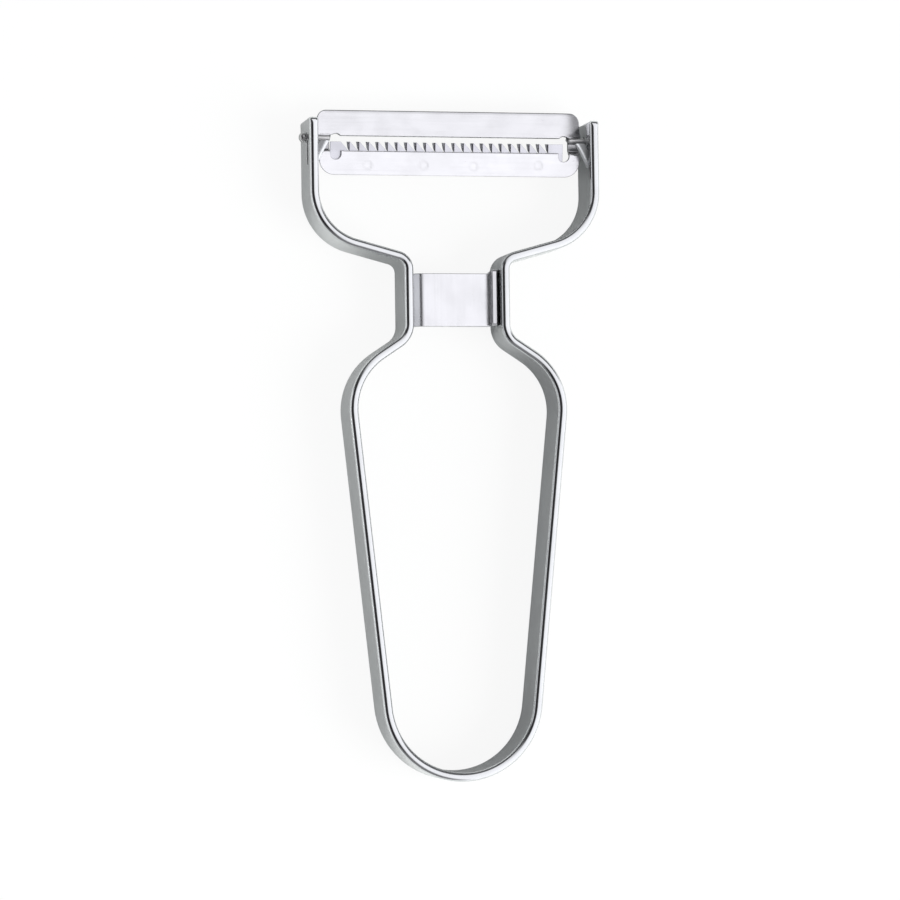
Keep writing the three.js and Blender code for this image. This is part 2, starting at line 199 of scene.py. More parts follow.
class ToothSizes(bpy.types.PropertyGroup):
    """Sizes of the toothed strip, from the pivot axis"""

    sheet: length("Sheet", "Thickness of the sheet", 0.45 * MM)
    seam: length("Seam", "Gap between the toothed strip and the lower flange", 0.1 * MM)
    pitch: length("Pitch", "Distance from tooth to tooth", 2.1 * MM)
    count: bpy.props.IntProperty(name="Count", description="Number of teeth", default=22, min=2)
    top: length("Top", "Upper edge of the strip", -0.8 * MM)
    depth: length("Depth", "Height of a tooth", 2.1 * MM)
    fold: length("Fold", "Flat length of the part of a tooth that is folded back", 1.85 * MM)
    slit: length("Slit", "Width of the cut between two teeth in the flat", 0.12 * MM)
    shift: length("Shift", "How far the strip lies to the left of the middle", 0.6 * MM)
    height: length("Height", "Height of the strip", 5.6 * MM)
    fold_round: length("Fold round", "Bend radius of the teeth", 0.5 * MM)
    edge_round: length("Edge round", "Radius along the cut edges", 0.05 * MM)


class PinSizes(bpy.types.PropertyGroup):
    """Sizes of the two pivot pins"""

    radius: length("Radius", "Radius of the shank", 0.6 * MM)
    head_height: length("Head height", "Height of the domed head", 1.05 * MM)
    chamfer: length("Chamfer", "Chamfer of the shank's inner end", 0.12 * MM)
    head_flat: length("Head flat", "Radius of the flat on the head", 0.35 * MM)


class FinishLook(bpy.types.PropertyGroup):
    """Colours and gloss of the metal finishes"""

    strip_colour: colour("Strip", "Bright rolled strip", SLOT_COLOURS["polished_strip"])
    bridge_colour: colour("Bridge", "Bright stamped sheet", SLOT_COLOURS["bridge_sheet"])
    blade_colour: colour("Blade", "Satin stamped sheet", SLOT_COLOURS["blade_sheet"])
    tooth_colour: colour("Teeth", "Hardened bare sheet", SLOT_COLOURS["tooth_sheet"])
    pin_colour: colour("Pins", "Drawn steel", SLOT_COLOURS["pin_steel"])
    strip_roughness: number("Strip roughness", "Roughness of the strip", 0.13)
    sheared_roughness: number("Sheared roughness", "Roughness of the lanced tongues", 0.5)
    sheet_roughness: number("Sheet roughness", "Roughness of the stamped sheets", 0.2)
    tooth_roughness: number("Tooth roughness", "Roughness of the toothed strip", 0.26)
    pin_roughness: number("Pin roughness", "Roughness of the pins", 0.35)


class StageLook(bpy.types.PropertyGroup):
    """Camera, lamps and surroundings"""

    yaw: angle("Yaw", "Camera's turn to the left of straight above", 12.43)
    pitch: angle("Pitch", "Camera's tilt towards the blade", -2.24)
    roll: angle("Roll", "Camera's turn about its line of sight", -0.83)
    distance: length("Distance", "From the camera to the aim point", 754.42 * MM)
    aim_x: length("Aim across", "Aim point across the peeler", -0.98 * MM)
    aim_y: length("Aim along", "Aim point along the peeler", 70.22 * MM)
    pixels_per_metre: number("Pixels per metre", "Scale of the picture at the aim point", 4630)
    floor_colour: colour("Floor", "Pale floor", (0.80, 0.82, 0.80))
    sky_diffuse: number("Sky light", "Level of the light from all round", 0.65)
    sky_gloss: number("Sky gloss", "Level of the sky as bright metal shows it", 1.5)
    key_power: number("Key power", "Power of the key lamp in watts", 9.0)
    fill_power: number("Fill power", "Power of the low lamp on the left in watts", 6.0)
    camera_white: number("White floor", "How far the floor goes to white for the camera", 0.9)


# Curves and outlines in the flat

class Centreline:
    """Straights joined by tangent arcs, followed by the distance from the start"""

    def __init__(self, corners, radii):
        self.starts = []
        self.pieces = []
        self.length = 0.0
        headings = [(b - a).to_2d() for a, b in zip(corners, corners[1:])]
        turns = [math.atan2(a.x * b.y - a.y * b.x, a.dot(b)) for a, b in zip(headings, headings[1:])]
        reaches = [0.0] + [r * math.tan(abs(t) / 2) for r, t in zip(radii, turns)] + [0.0]
        for i, heading in enumerate(headings):
            facing = math.atan2(heading.y, heading.x)
            straight = heading.length - reaches[i] - reaches[i + 1]
            start = corners[i] + heading.normalized() * reaches[i]
            self.add(start, facing, 0.0, straight)
            if i < len(turns):
                self.add(start + heading.normalized() * straight, facing,
                         math.copysign(1 / radii[i], turns[i]), radii[i] * abs(turns[i]))

    def add(self, start, facing, curvature, distance):
        if distance < 1e-9:
            return
        self.starts.append(self.length)
        self.pieces.append((start, facing, curvature, distance))
        self.length += distance

    def at(self, distance):
        """Point and heading at a distance from the start"""
        i = max(0, bisect_right(self.starts, distance) - 1)
        start, facing, curvature, _ = self.pieces[i]
        along = distance - self.starts[i]
        turned = facing + curvature * along
        if curvature == 0:
            return start + Vector((math.cos(facing), math.sin(facing))) * along, facing
        bow = Vector((math.sin(turned) - math.sin(facing), math.cos(facing) - math.cos(turned)))
        return start + bow / curvature, turned

    def stations(self, straight_step, bend_step):
        """Distances that divide the straights and the arcs evenly"""
        marks = []
        for begin, (_, _, curvature, distance) in zip(self.starts, self.pieces):
            step = straight_step if curvature == 0 else bend_step / abs(curvature)
            count = max(1, math.ceil(distance / step))
            marks += [begin + distance * k / count for k in range(count)]
        return marks + [self.length]


def rounded_outline(corners, steps=8):
    """Closed outline from (x, y, radius) corners, with an arc at each corner that has a radius"""
    outline = []
    for i, (x, y, radius) in enumerate(corners):
        corner = Vector((x, y))
        before = (corner - Vector(corners[i - 1][:2])).normalized()
        after = (Vector(corners[(i + 1) % len(corners)][:2]) - corner).normalized()
        turn = math.atan2(before.x * after.y - before.y * after.x, before.dot(after))
        if radius == 0 or abs(turn) < 1e-6:
            outline.append(corner)
            continue
        start = corner - before * radius * math.tan(abs(turn) / 2)
        side = Vector((-before.y, before.x)) * math.copysign(radius, turn)
        for k in range(steps + 1):
            outline.append(start + side + Matrix.Rotation(turn * k / steps, 2) @ -side)
    return outline


def cut_at_lines(outline, lines_u, lines_v):
    """An outline with points added where its straight runs cross the lines of a grid"""
    points = []
    for a, b in zip(outline, outline[1:] + outline[:1]):
        run = b - a
        axis = 0 if abs(run.x) > abs(run.y) else 1
        low, high = sorted((a[axis], b[axis]))
        margin = 0.25 * (high - low) / (1 + sum(low < m < high for m in (lines_u, lines_v)[axis]))
        marks = [m for m in (lines_u, lines_v)[axis] if low + margin < m < high - margin]
        shares = sorted((m - a[axis]) / run[axis] for m in marks)
        points += [a] + [a + run * share for share in shares]
    return points


def even_lines(low, high, step):
    count = max(1, math.ceil((high - low) / step))
    return [low + (high - low) * k / count for k in range(count + 1)]


def smooth_step(low, high, value):
    t = min(1.0, max(0.0, (value - low) / (high - low)))
    return t * t * (3 - 2 * t)


# Meshes

NORMAL_STEP = 2e-6


def face_point(place, flat):
    """Point and unit normal of a bent sheet's outer face"""
    u, v = flat
    along = place(u + NORMAL_STEP, v) - place(u - NORMAL_STEP, v)
    across = place(u, v + NORMAL_STEP) - place(u, v - NORMAL_STEP)
    return place(u, v), along.cross(across).normalized()


def inward_mitres(points):
    """Vector at each point of a loop that moves its two edges one unit to their left"""
    edges = np.roll(points, -1, axis=0) - points
    edges /= np.linalg.norm(edges, axis=1)[:, None]
    left = np.stack([-edges[:, 1], edges[:, 0]], axis=1)
    before = np.roll(left, 1, axis=0)
    return (left + before) / np.maximum(0.5, 1 + np.sum(left * before, axis=1))[:, None]


def within(points, loops):
    """True for each point inside an odd number of loops"""
    x, y = points[:, :1], points[:, 1:]
    odd = np.zeros(len(points), bool)
    for loop in loops:
        ax, ay = loop[:, 0], loop[:, 1]
        bx, by = np.roll(ax, -1), np.roll(ay, -1)
        rise = np.where(by == ay, 1.0, by - ay)
        crossed = ((ay > y) != (by > y)) & (x < ax + (y - ay) * (bx - ax) / rise)
        odd ^= crossed.sum(axis=1) % 2 == 1
    return odd


def bent_sheet(name, loops, place, thickness, lines_u, lines_v, round_steps=3, mark=None):
    """A closed mesh of a sheet that is cut to loops in the flat and bent by place(u, v).

    A loop is a list of points with the sheet on its left, and the edge radius at each point. mark(u, v)
    gives how much the outer face's colour is darkened, for stains and for painted shade."""
    outlines = [np.array(points) for points, _ in loops]
    radii = [np.array(edge) for _, edge in loops]
    mitres = [inward_mitres(points) for points in outlines]
    insets = [p + m * r[:, None] for p, m, r in zip(outlines, mitres, radii)]

    grid = np.array([(u, v) for u in lines_u for v in lines_v])
    grid = grid[within(grid, insets)]
    rim = np.concatenate(insets)
    spacing = min(np.median(np.diff(lines_u)), np.median(np.diff(lines_v)))
    clear = np.array([np.min(np.sum((rim - g) ** 2, axis=1)) > (0.4 * spacing) ** 2 for g in grid])
    flat = np.concatenate([rim, grid[clear]])

    starts = np.cumsum([0] + [len(p) for p in insets])
    rings = [[(s + k, s + (k + 1) % n) for k in range(n)] for s, n in zip(starts, map(len, insets))]
    edges = [pair for ring in rings for pair in ring]
    cut = delaunay_2d_cdt([Vector(p) / MM for p in flat], edges, [], 1, 1e-5)
    source = [origin[0] for origin in cut[3]]
    corners = np.array([[source[k] for k in face] for face in cut[2]])
    corners = corners[~within(flat[corners].mean(axis=1), insets[1:])]

    verts, normals, faces = [], [], []
    for point in flat:
        place_point, normal = face_point(place, point)
        verts.append(place_point)
        normals.append(normal)
    count = len(flat)
    spots = list(flat) * 2
    outer = [True] * count + [False] * count
    verts += [p - n * thickness for p, n in zip(verts, normals)]
    normals += [-n for n in normals]
    faces += [tuple(c) for c in corners]
    faces += [tuple(count + k for k in reversed(c)) for c in corners]

    quarter = [math.pi / 2 * k / round_steps for k in range(1, round_steps + 1)]
    for loop, (outline, mitre, radius) in enumerate(zip(outlines, mitres, radii)):
        size = len(outline)
        layers = [list(range(starts[loop], starts[loop] + size))]
        for front, turn in [(True, t) for t in quarter] + [(False, t) for t in reversed(quarter)]:
            layers.append(list(range(len(verts), len(verts) + size)))
            for point, inward, edge in zip(outline, mitre, radius):
                inset = point + inward * edge * (1 - math.sin(turn))
                spot, normal = face_point(place, inset)
                spots.append(inset)
                outer.append(front)
                inner = place(*(point + inward * NORMAL_STEP))
                outward = (place(*(point - inward * NORMAL_STEP)) - inner).normalized()
                depth = edge * (1 - math.cos(turn))
                verts.append(spot - normal * (depth if front else thickness - depth))
                normals.append(normal * math.cos(turn) * (1 if front else -1) + outward * math.sin(turn))
        layers.append([count + k for k in layers[0]])
        for upper, lower in zip(layers, layers[1:]):
            for k in range(size):
                after = (k + 1) % size
                faces.append((upper[after], upper[k], lower[k], lower[after]))

    mesh = bpy.data.meshes.new(name)
    mesh.from_pydata(verts, [], faces)
    mesh.polygons.foreach_set("use_smooth", [True] * len(mesh.polygons))
    mesh.normals_split_custom_set_from_vertices([n.normalized() for n in normals])
    if mark:
        stains_and_shade = [mark(u, v) if front else 0.0 for (u, v), front in zip(spots, outer)]
        mesh.attributes.new("mark", "FLOAT", "POINT").data.foreach_set("value", stains_and_shade)
    return new_object(name, mesh)


def turned(name, profile, sides):
    """A closed mesh turned about the X axis from (x, radius) points, the first and last on the axis"""
    build = bmesh.new()
    rings = []
    for x, radius in profile:
        count = sides if radius > 0 else 1
        turns = [2 * math.pi * k / count for k in range(count)]
        rings.append([build.verts.new((x, radius * math.cos(t), radius * math.sin(t))) for t in turns])
    for near, far in zip(rings, rings[1:]):
        for k in range(sides):
            after = (k + 1) % sides
            corners = [near[k % len(near)], near[after % len(near)], far[after % len(far)], far[k % len(far)]]
            build.faces.new(list(dict.fromkeys(corners)))
    bmesh.ops.recalc_face_normals(build, faces=build.faces)
    return smooth_object(name, build, 35)


def smooth_object(name, build, sharp_degrees):
    mesh = bpy.data.meshes.new(name)
    build.to_mesh(mesh)
    build.free()
    mesh.polygons.foreach_set("use_smooth", [True] * len(mesh.polygons))
    mesh.set_sharp_from_angle(angle=math.radians(sharp_degrees))
    return new_object(name, mesh)


def new_object(name, mesh):
    obj = bpy.data.objects.new(name, mesh)
    bpy.context.scene.collection.objects.link(obj)
    return obj


def settle(obj, material, body, slot, *nodes):
    """Gives a piece its finish, its body and the nodes that it stands for"""
    obj.data.materials.append(material)
    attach(obj, body)
    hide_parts(*nodes)


# Materials

class Signal:
    """An output socket: arithmetic on it adds Math nodes to its tree"""

    def __init__(self, tree, socket):
        self.tree = tree
        self.socket = socket

    def math(self, operation, *values):
        inputs = dict(enumerate(values))
        return self.tree.node("ShaderNodeMath", {"operation": operation}, inputs)

    def __add__(self, other):
        return self.math("ADD", self, other)

    def __sub__(self, other):
        return self.math("SUBTRACT", self, other)

    def __rsub__(self, other):
        return self.math("SUBTRACT", other, self)

    def __mul__(self, other):
        return self.math("MULTIPLY", self, other)

    __radd__ = __add__
    __rmul__ = __mul__


class Tree:
    """The node tree of a material or a world"""

    def __init__(self, owner):
        owner.use_nodes = True
        self.nodes = owner.node_tree.nodes
        self.links = owner.node_tree.links
        self.nodes.clear()

    def node(self, kind, settings=None, inputs=None, output=0):
        """Adds a node, sets it up, fills its sockets and gives one of its outputs"""
        node = self.nodes.new(kind)
        for name, value in (settings or {}).items():
            setattr(node, name, value)
        for key, value in (inputs or {}).items():
            if isinstance(value, Signal):
                self.links.new(value.socket, node.inputs[key])
            else:
                node.inputs[key].default_value = value
        return Signal(self, node.outputs[output]) if node.outputs else None

    def noise(self, scale, detail=2.0, roughness=0.5):
        """Noise over the piece's own space, with a scale of its own along each axis"""
        space = self.node("ShaderNodeTexCoord", output="Object")
        stretched = self.node("ShaderNodeVectorMath", {"operation": "MULTIPLY"}, {0: space, 1: scale})
        return self.node("ShaderNodeTexNoise", {}, {
            "Vector": stretched, "Scale": 1.0, "Detail": detail, "Roughness": roughness})

    def ramp(self, value, low, high):
        """A value carried smoothly from low and high to 0 and 1"""
        return self.node("ShaderNodeMapRange", {"interpolation_type": "SMOOTHSTEP"}, {
            "Value": value, "From Min": low, "From Max": high})

    def blend(self, share, first, second):
        """One colour carried to another"""
        return self.node("ShaderNodeMix", {"data_type": "RGBA"}, {0: share, 6: first, 7: second}, output=2)


def tone(base, factor):
    """A colour made darker or lighter, with its alpha"""
    return (*[min(1.0, c * factor) for c in base], 1.0)


def metal(name, base, roughness, grain, grain_depth, cloud_scale, cloud_tone):
    """Bare steel with fine rolling grain, clouded tone, specks, and marks darkened for stains and for painted
    shade.

    grain and cloud_scale are scales per metre, and cloud_tone is how dark the clouds are."""
    speck_scale = 2600.0
    streak_share, streak_tone, stain_and_shade_tone = 0.1, 0.8, 0.12
    cloud_gloss, streak_gloss, speck_gloss = 0.03, 0.05, 0.05
    material = bpy.data.materials.new(name)
    tree = Tree(material)
    lines = tree.noise(grain, detail=3.0, roughness=0.6)
    clouds = tree.noise((cloud_scale,) * 3, detail=4.0)
    specks = tree.noise((speck_scale,) * 3)
    patches = tree.ramp(clouds, 0.35, 0.7)
    shade = tree.blend(patches, tone(base, 1.0), tone(base, cloud_tone))
    shade = tree.blend(tree.ramp(lines, 0.3, 0.75) * streak_share, shade, tone(base, streak_tone))
    # The mark attribute darkens the colour: weld tint on the blade, and painted shade on its end webs, its
    # ground edge and the tongues' sheared faces.
    mark = tree.node("ShaderNodeAttribute", {"attribute_name": "mark"}, output="Fac")
    shade = tree.blend(mark, shade, tone(base, stain_and_shade_tone))
    gloss = roughness + cloud_gloss * patches + streak_gloss * tree.ramp(lines, 0.4, 0.8)
    gloss = gloss + speck_gloss * tree.ramp(specks, 0.62, 0.75)
    height = lines * 0.7 + specks * 0.3
    relief = tree.node("ShaderNodeBump", {}, {
        "Strength": 0.25, "Distance": grain_depth, "Height": height})
    surface = tree.node("ShaderNodeBsdfPrincipled", {}, {
        "Base Color": shade, "Metallic": 1.0, "Roughness": gloss, "Normal": relief})
    tree.node("ShaderNodeOutputMaterial", {}, {"Surface": surface})
    return material


# Pieces

def strip_centreline(sizes):
    """Centre line of the strip's right half, from the end of the handle to the top of the arm"""
    half = sizes.thickness / 2
    neck = sizes.neck_gap / 2 + half
    yoke = STRIP_HIGH.x - half
    end = sizes.handle_end_radius * math.tan(math.pi / 4 - sizes.handle_taper / 2)
    shoulder = end + sizes.handle_length * math.tan(sizes.handle_taper)
    foot = sizes.handle_length + sizes.shoulder_rise
    head = foot + sizes.neck_length
    corners = [
        (0, 0),
        (end, 0),
        (shoulder, sizes.handle_length),
        (neck, foot),
        (neck, head),
        (yoke, head + sizes.yoke_rise),
        (yoke, STRIP_HIGH.y),
    ]
    radii = [sizes.handle_end_radius, sizes.shoulder_radius, sizes.neck_foot_radius,
             sizes.neck_head_radius, sizes.yoke_radius]
    return Centreline([Vector(c) for c in corners], radii)


class PEELER_OT_handle_strip(bpy.types.Operator):
    """Makes the bent strip of the handle, the neck and the yoke"""

    bl_idname = "peeler.handle_strip"
    bl_label = "Handle Strip"

    def execute(self, context):
        sizes = context.scene.peeler_strip
        stop = context.scene.peeler_stops
        line = strip_centreline(sizes)
        reach = line.length
        pivot_at = reach - (STRIP_HIGH.y - PIVOT.y)

        def place(u, v):
            point, heading = line.at(abs(u))
            offset = sizes.thickness / 2
            x = point.x + math.sin(heading) * offset
            return Vector((math.copysign(x, u) if u else x, point.y - math.cos(heading) * offset, v))

        straight_step, bend_step, fine_step = 2.5 * MM, math.radians(3), 0.5 * MM
        fine_length = 11 * MM
        half = line.stations(straight_step, bend_step)
        fine = even_lines(reach - fine_length, reach, fine_step)
        half = [u for u in half if u < fine[0]] + fine
        lines_u = [-u for u in reversed(half[1:])] + half
        lines_v = even_lines(STRIP_LOW.z, STRIP_HIGH.z, fine_step)
        corner = sizes.end_corner
        blend_length = 1.6 * corner
        outline = rounded_outline([
            (-reach, STRIP_LOW.z, corner),
            (reach, STRIP_LOW.z, corner),
            (reach, STRIP_HIGH.z, corner),
            (-reach, STRIP_HIGH.z, corner),
        ])
        outline = cut_at_lines(outline, lines_u, lines_v)
        edge = [sizes.end_round + (sizes.edge_round - sizes.end_round)
                * smooth_step(0, blend_length, reach - abs(p.x)) for p in outline]
        loops = [(outline, edge)]
        hole_sides, edge_steps = 28, 7
        turns = [-2 * math.pi * k / hole_sides for k in range(hole_sides)]
        for side in (-pivot_at, pivot_at):
            hole = [Vector((side, PIVOT.z)) + sizes.hole_radius * Vector((math.cos(t), math.sin(t)))
                    for t in turns]
            loops.append((hole, [stop.edge_round] * len(hole)))
            slot_top = pivot_at - stop.below + stop.gap
            slot_low = pivot_at - stop.below - stop.span
            back = PIVOT.z + stop.ahead - stop.gap
            front = PIVOT.z + stop.ahead + stop.width + stop.gap
            corners = [(slot_low, back), (slot_low, front), (slot_top, front), (slot_top, back)]
            slot = [Vector((math.copysign(u, side), v)) for u, v in corners]
            slot = cut_at_lines(slot if side > 0 else slot[::-1], lines_u, lines_v)
            loops.append((slot, [stop.edge_round] * len(slot)))
        strip = bent_sheet("strip", loops, place, sizes.thickness, lines_u, lines_v, edge_steps)
        finish = context.scene.peeler_finish
        steel = metal("polished_strip", finish.strip_colour, finish.strip_roughness,
                      grain=(45.0, 45.0, 2600.0), grain_depth=6e-6, cloud_scale=140.0, cloud_tone=0.94)
        settle(strip, steel, "frame", "polished_strip", "handle_strip")
        return {"FINISHED"}


class PEELER_OT_arm_stops(bpy.types.Operator):
    """Makes the tongue that is lanced from each arm to stop the blade"""

    bl_idname = "peeler.arm_stops"
    bl_label = "Arm Stops"

    def execute(self, context):
        sizes = context.scene.peeler_stops
        outer = STRIP_HIGH.x
        inner = outer - context.scene.peeler_strip.thickness
        top = PIVOT.y - sizes.below
        root = top - sizes.span
        slope = sizes.span / sizes.reach
        sunk = 0.3 * MM
        step = 0.3 * MM
        tip_round = 0.2 * MM
        edge_steps = 5
        leaf_end, sheared_start = 0.6 * MM, 0.85 * MM
        front = PIVOT.z + sizes.ahead + sizes.width
        finish = context.scene.peeler_finish
        # Painted highlight: the tongues get a base colour 1.4 times as bright as the strip they are lanced
        # from, so that their rolled edges show white.
        bright = tone(finish.strip_colour, 1.4)[:3]
        steel = metal("sheared_strip", bright, finish.sheared_roughness,
                      grain=(2200.0, 160.0, 60.0), grain_depth=2e-5, cloud_scale=300.0, cloud_tone=0.9)
        for side, name, stain_and_shade in ((1, "right", sizes.right_shade), (-1, "left", sizes.left_shade)):
            corners = [
                (inner - sizes.reach, top, tip_round),
                (inner + sunk, root - sunk * slope, 0),
                (outer - sunk, root - sunk * slope, 0),
                (outer - sunk, root + sunk * slope, 0),
                (outer - sizes.reach, top, tip_round),
            ]
            outline = rounded_outline(corners)
            lines_u = even_lines(inner - sizes.reach, outer, step)
            lines_v = even_lines(root - sunk * slope, top, step)
            outline = cut_at_lines(outline, lines_u, lines_v)

            def behind(point):
                """Distance behind the tongue's inner edge"""
                return point.x - inner + (point.y - root) / slope

            edge = []
            for point in outline:
                share = (top - point.y) / sizes.span
                bulge = max(0.0, 4 * share * (1 - share)) if behind(point) < 0.05 * MM else 0.0
                edge.append(sizes.edge_round + (sizes.rolled - sizes.edge_round) * bulge)
            if side < 0:
                outline = [Vector((-p.x, p.y)) for p in reversed(outline)]
                edge = edge[::-1]
                lines_u = [-u for u in reversed(lines_u)]

            def place(u, v):
                return Vector((u, v, front))

            # Painted shade: darkens each tongue's sheared face beyond the bright leaf of its rolled edge.
            def sheared(u, v):
                return stain_and_shade * smooth_step(leaf_end, sheared_start, behind(Vector((abs(u), v))))

            loops = [(outline, edge)]
            tongue = bent_sheet(
                f"{name}_stop", loops, place, sizes.width, lines_u, lines_v, edge_steps, sheared)
            tongue.data.materials.append(steel)
            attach(tongue, "frame")
        return {"FINISHED"}


class PEELER_OT_neck_bridge(bpy.types.Operator):
    """Makes the bent sheet that closes the neck"""

    bl_idname = "peeler.neck_bridge"
    bl_label = "Neck Bridge"

    def execute(self, context):
        sizes = context.scene.peeler_bridge
        front = sizes.front
        low, high = BRIDGE_LOW.y - sizes.drop, BRIDGE_HIGH.y - sizes.drop
        web_step, flange_step, bend_steps = 0.6 * MM, 0.4 * MM, 9
        shoulder_beyond = 0.4 * MM

        def side(radius, turn, corner, run):
            """Radius and turn of a bend, where it starts and how long it is, and where the sheet ends"""
            cut = radius * math.tan(turn / 2)
            bend = radius * turn
            return radius, turn, corner - cut, bend, corner + bend + run - 2 * cut

        right_run = (BRIDGE_HIGH.z - front) / math.sin(sizes.right_turn)
        left = side(sizes.left_radius, math.pi / 2, -BRIDGE_LOW.x, front - BRIDGE_LOW.z)
        right = side(sizes.right_radius, sizes.right_turn, BRIDGE_HIGH.x - sizes.sheet, right_run)

        def place(u, v):
            radius, turn, web, bend, _ = left if u < 0 else right
            beyond = max(0.0, abs(u) - web)
            bent = min(beyond / radius, turn)
            straight = max(0.0, beyond - bend)
            x = min(abs(u), web) + radius * math.sin(bent) + straight * math.cos(turn)
            rise = radius * (1 - math.cos(bent)) + straight * math.sin(turn)
            return Vector((math.copysign(x, u), v, front + math.copysign(rise, u)))

        def half_lines(radius, turn, web, bend, reach):
            rolled = even_lines(web, web + bend, bend / bend_steps)[1:]
            return even_lines(0, web, web_step)[1:] + rolled + even_lines(web + bend, reach, flange_step)[1:]

        left_end, right_end = -left[-1], right[-1]
        shoulder = right[2] + shoulder_beyond
        outline = rounded_outline([
            (right_end, low, sizes.flange_round),
            (right_end, high + sizes.flange_rise, sizes.flange_round),
            (shoulder, high + sizes.flange_rise, sizes.flange_rise / 2),
            (shoulder - sizes.flange_rise, high, sizes.flange_rise / 2),
            (left_end, high, sizes.flange_round),
            (left_end, low, sizes.flange_round),
        ])
        lines_u = [-u for u in reversed(half_lines(*left))] + [0.0] + half_lines(*right)
        lines_v = even_lines(low, high + sizes.flange_rise, web_step)
        outline = cut_at_lines(outline, lines_u, lines_v)
        loops = [(outline, [sizes.edge_round] * len(outline))]
        bridge = bent_sheet("bridge", loops, place, sizes.sheet, lines_u, lines_v)
        finish = context.scene.peeler_finish
        steel = metal("bridge_sheet", finish.bridge_colour, finish.sheet_roughness,
                      grain=(2200.0, 60.0, 60.0), grain_depth=8e-6, cloud_scale=160.0, cloud_tone=0.95)
        settle(bridge, steel, "frame", "bridge_sheet", "neck_bridge")
        return {"FINISHED"}


# Spot welds that hold the toothed strip to the lower flange, from the middle of the blade and the pivot
WELDS = ((-18.2 * MM, -5.8 * MM), (-5.9 * MM, -5.7 * MM), (5.2 * MM, -5.9 * MM), (19.6 * MM, -5.5 * MM))


class PEELER_OT_blade_plate(bpy.types.Operator):
    """Makes the slotted blade plate with its end webs"""

    bl_idname = "peeler.blade_plate"
    bl_label = "Blade Plate"

    def execute(self, context):
        sizes = context.scene.peeler_blade
        half = BLADE_HIGH.x
        top = BLADE_HIGH.y - PIVOT.y
        bottom = BLADE_LOW.y - PIVOT.y
        slot_half = half - sizes.end_web
        upper_slope = math.tan(sizes.upper_lean)
        lower_slope = math.tan(sizes.lower_lean)
        step = 0.42 * MM
        web_bend = 1.1 * MM
        ring_stain = 0.11
        ground_start, ground_full = top - 0.4 * MM, top - 0.15 * MM
        notch_top, notch_round = 0.7 * MM, 0.6 * MM

        def web_share(x, y):
            share = 1 - smooth_step(sizes.web_top, sizes.web_top + sizes.web_step, y)
            share *= smooth_step(sizes.web_bottom - sizes.web_slope, sizes.web_bottom, y)
            return share * smooth_step(slot_half - web_bend, slot_half, x)

        def face_height(x, y):
            flange = sizes.ridge - (y * upper_slope if y > 0 else -y * lower_slope)
            return flange - (flange + sizes.web_depth) * web_share(x, y)

        def weld_offs(x, y):
            """Distance from each weld's middle, in weld radii"""
            return [math.hypot(x - weld_x, y - weld_y) / sizes.weld_radius for weld_x, weld_y in WELDS]

        def weld_dent(x, y):
            return sizes.weld_depth * sum(1 - smooth_step(0.5, 1.1, off) for off in weld_offs(x, y))

        # Darkening of the outer face: the rings round the welds are tint, while the end webs and the ground
        # edge get painted shade.
        def stain_and_shade(x, y):
            rings = ring_stain * sum(math.exp(-((off - 0.9) / 0.25) ** 2) for off in weld_offs(x, y))
            ground = smooth_step(ground_start, ground_full, y)
            return rings + sizes.web_shade * web_share(abs(x), y) + sizes.edge_shade * ground

        def curled(u, v):
            share = max(0.0, u - half + sizes.curl_length) / sizes.curl_length
            return sizes.end_curl * share * share * smooth_step(-0.5 * MM, 1.5 * MM, v)

        def place(u, v):
            height = face_height(abs(u), v) - weld_dent(u, v) - curled(u, v)
            return Vector((u, PIVOT.y + v, PIVOT.z + height))

        outline = rounded_outline([
            (half - sizes.set_in, bottom, sizes.bottom_corner),
            (half - sizes.set_in, sizes.slot_bottom, notch_round),
            (half, notch_top, notch_round),
            (half, top, sizes.top_corner),
            (-half, top, 0),
            (-half, bottom, 0),
        ])[:-2]
        outline += [Vector((-p.x, p.y)) for p in reversed(outline)]
        lines_u = even_lines(-half, half, step)
        lines_v = even_lines(bottom, top, step)
        outline = cut_at_lines(outline, lines_u, lines_v)

        relief = sizes.relief_width / 2
        relief_x = slot_half - relief
        low_centre = sizes.relief_bottom + relief
        high_centre = sizes.relief_top - relief
        meet = math.asin((sizes.slot_top - high_centre) / relief)

        def arc(centre_y, start, stop):
            turns = [start + (stop - start) * k / 12 for k in range(13)]
            return [Vector((relief_x, centre_y)) + relief * Vector((math.cos(t), math.sin(t))) for t in turns]

        right = [Vector((relief_x - relief, sizes.slot_bottom))]
        right += arc(low_centre, math.pi, 2 * math.pi)
        right += arc(high_centre, 0, math.pi - meet)
        hole = right + [Vector((-p.x, p.y)) for p in reversed(right)]
        hole = cut_at_lines(hole, lines_u, lines_v)[::-1]
        ground = sizes.ground_round - sizes.edge_round
        edge = [sizes.edge_round + ground * smooth_step(notch_top, 2 * MM, p.y) for p in outline]
        slot_edges = []
        for p in hole:
            along_slot = 1 - smooth_step(relief_x - relief - 0.6 * MM, relief_x - relief, abs(p.x))
            wanted = sizes.slot_edge if p.y < 0.5 * (sizes.slot_top + sizes.slot_bottom) else sizes.slot_lip
            slot_edges.append(sizes.edge_round + (wanted - sizes.edge_round) * along_slot)
        loops = [(outline, edge), (hole, slot_edges)]
        plate = bent_sheet("blade", loops, place, sizes.sheet, lines_u, lines_v, 3, stain_and_shade)
        finish = context.scene.peeler_finish
        steel = metal("blade_sheet", finish.blade_colour, finish.sheet_roughness,
                      grain=(70.0, 2400.0, 2400.0), grain_depth=6e-6, cloud_scale=210.0, cloud_tone=0.95)
        settle(plate, steel, "blade", "blade_sheet", "blade_plate")
        return {"FINISHED"}


